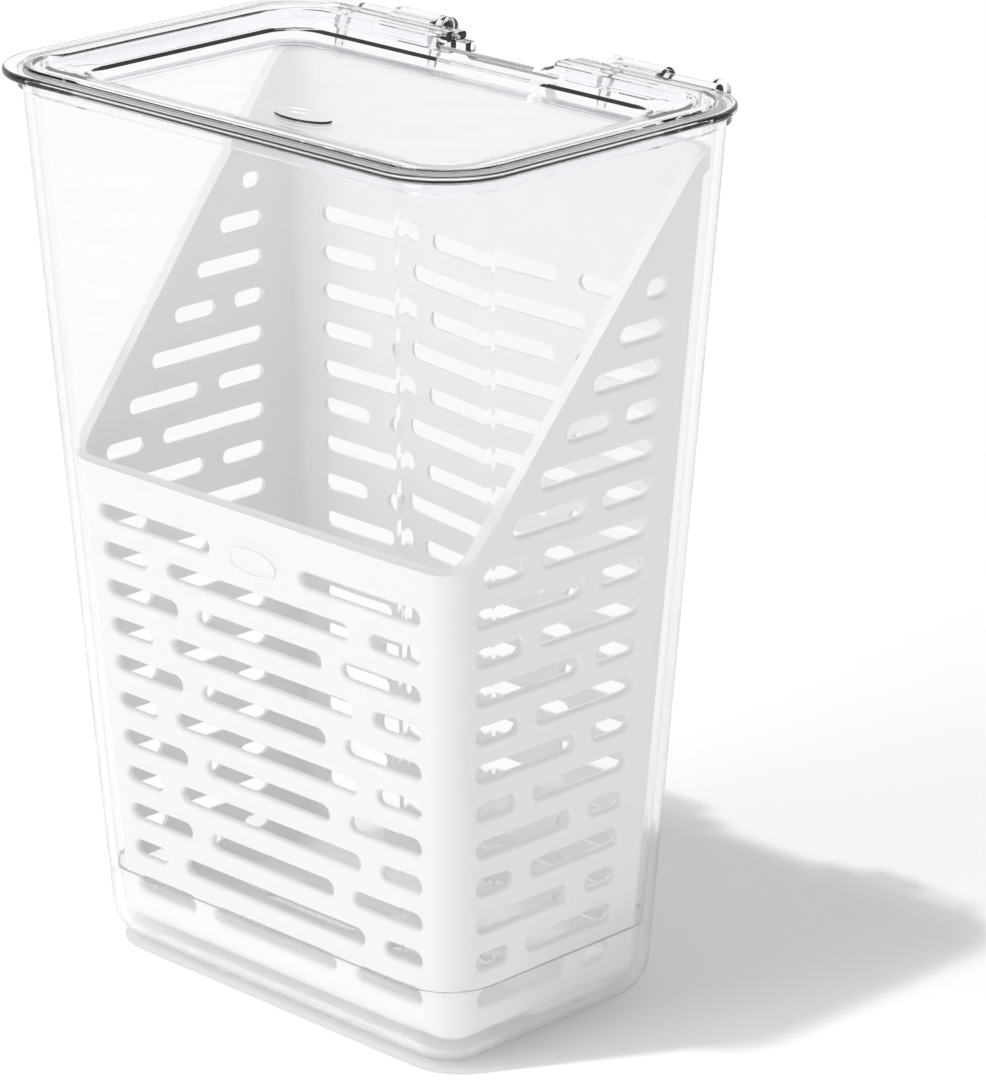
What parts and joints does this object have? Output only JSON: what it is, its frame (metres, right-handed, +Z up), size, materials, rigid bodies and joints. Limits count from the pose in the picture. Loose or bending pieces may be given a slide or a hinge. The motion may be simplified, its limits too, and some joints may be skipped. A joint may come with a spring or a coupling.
{
  "type": "herb keeper",
  "caption": "Tall clear tapered container with a white slotted drain basket inside and a clear tray-like lid hinged on the rear rim.",
  "frame": {"origin": "middle of the container's foot, on the surface it stands on", "axes": "+Z up; -Y towards the low front of the basket and the free edge of the lid; +Y towards the hinge; +X to the right as seen from the front"},
  "size_m": [0.164, 0.1138, 0.2311],
  "materials": {
    "clear_body": "clear gloss, frosted band round the foot",
    "white_basket": "satin white",
    "clear_lid": "clear gloss"
  },
  "bodies": {
    "container": {"container": "clear_body"},
    "basket": {"basket": "white_basket"},
    "lid": {"lid": "clear_lid"}
  },
  "joints": [
    {"name": "lid_hinge", "type": "hinge", "parent": "container", "child": "lid", "pos_m": [0, 0.05482, 0.2282], "axis": [-1, 0, 0], "range_deg": [0, 105]},
    {"name": "basket_lift", "type": "slide", "parent": "container", "child": "basket", "axis": [0, 0, 1], "range_m": [0, 0.004]}
  ]
}
